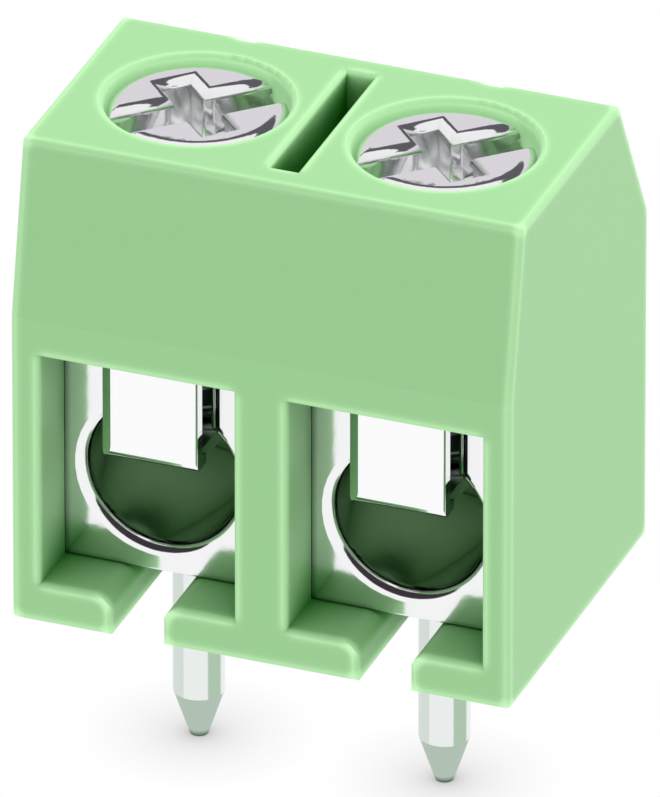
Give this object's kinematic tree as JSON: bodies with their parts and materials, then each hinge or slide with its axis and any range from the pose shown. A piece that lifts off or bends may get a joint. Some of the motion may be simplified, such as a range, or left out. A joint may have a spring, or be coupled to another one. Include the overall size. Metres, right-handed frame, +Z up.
{
  "type": "pcb screw terminal",
  "caption": "Board-mounted screw terminal: green moulded housing, bored clamp bodies with wire protectors, slotted screws and round solder pins.",
  "frame": {"origin": "midway between the two solder pins, on the underside of the housing, which is the board's top face", "axes": "+X along the poles, to the right as seen from the wire entries; +Y from the wire entries to the back; +Z up from the board"},
  "size_m": [0.01, 0.0074, 0.0137],
  "materials": {
    "housing_plastic": "moulded polyamide, pale green, satin",
    "clamp_plating": "bright nickel plating on brass",
    "protector_steel": "bright plated spring steel strip",
    "screw_plating": "bright zinc plating on steel",
    "pin_tin": "tin plating on brass, satin"
  },
  "bodies": {
    "terminal": {"housing": "housing_plastic", "clamp_body_left": "clamp_plating", "clamp_body_right": "clamp_plating", "solder_pin_left": "pin_tin", "solder_pin_right": "pin_tin"},
    "left_protector": {"wire_protector_left": "protector_steel"},
    "right_protector": {"wire_protector_right": "protector_steel"},
    "left_screw": {"screw_left": "screw_plating"},
    "right_screw": {"screw_right": "screw_plating"}
  },
  "joints": [
    {"name": "left_protector_slide", "type": "slide", "parent": "terminal", "child": "left_protector", "axis": [0, 0, -1], "range_m": [0, 0.0016]},
    {"name": "left_screw_turn", "type": "hinge", "parent": "left_protector", "child": "left_screw", "pos_m": [-0.0025, 0, 0.0038], "axis": [0, 0, -1], "range_deg": [0, 1152]},
    {"name": "right_protector_slide", "type": "slide", "parent": "terminal", "child": "right_protector", "axis": [0, 0, -1], "range_m": [0, 0.0016]},
    {"name": "right_screw_turn", "type": "hinge", "parent": "right_protector", "child": "right_screw", "pos_m": [0.0025, 0, 0.0038], "axis": [0, 0, -1], "range_deg": [0, 1152]}
  ],
  "couplings": [
    {"joint": "left_screw_turn", "follows": "left_protector_slide", "rad_per_m": 12566},
    {"joint": "right_screw_turn", "follows": "right_protector_slide", "rad_per_m": 12566}
  ]
}
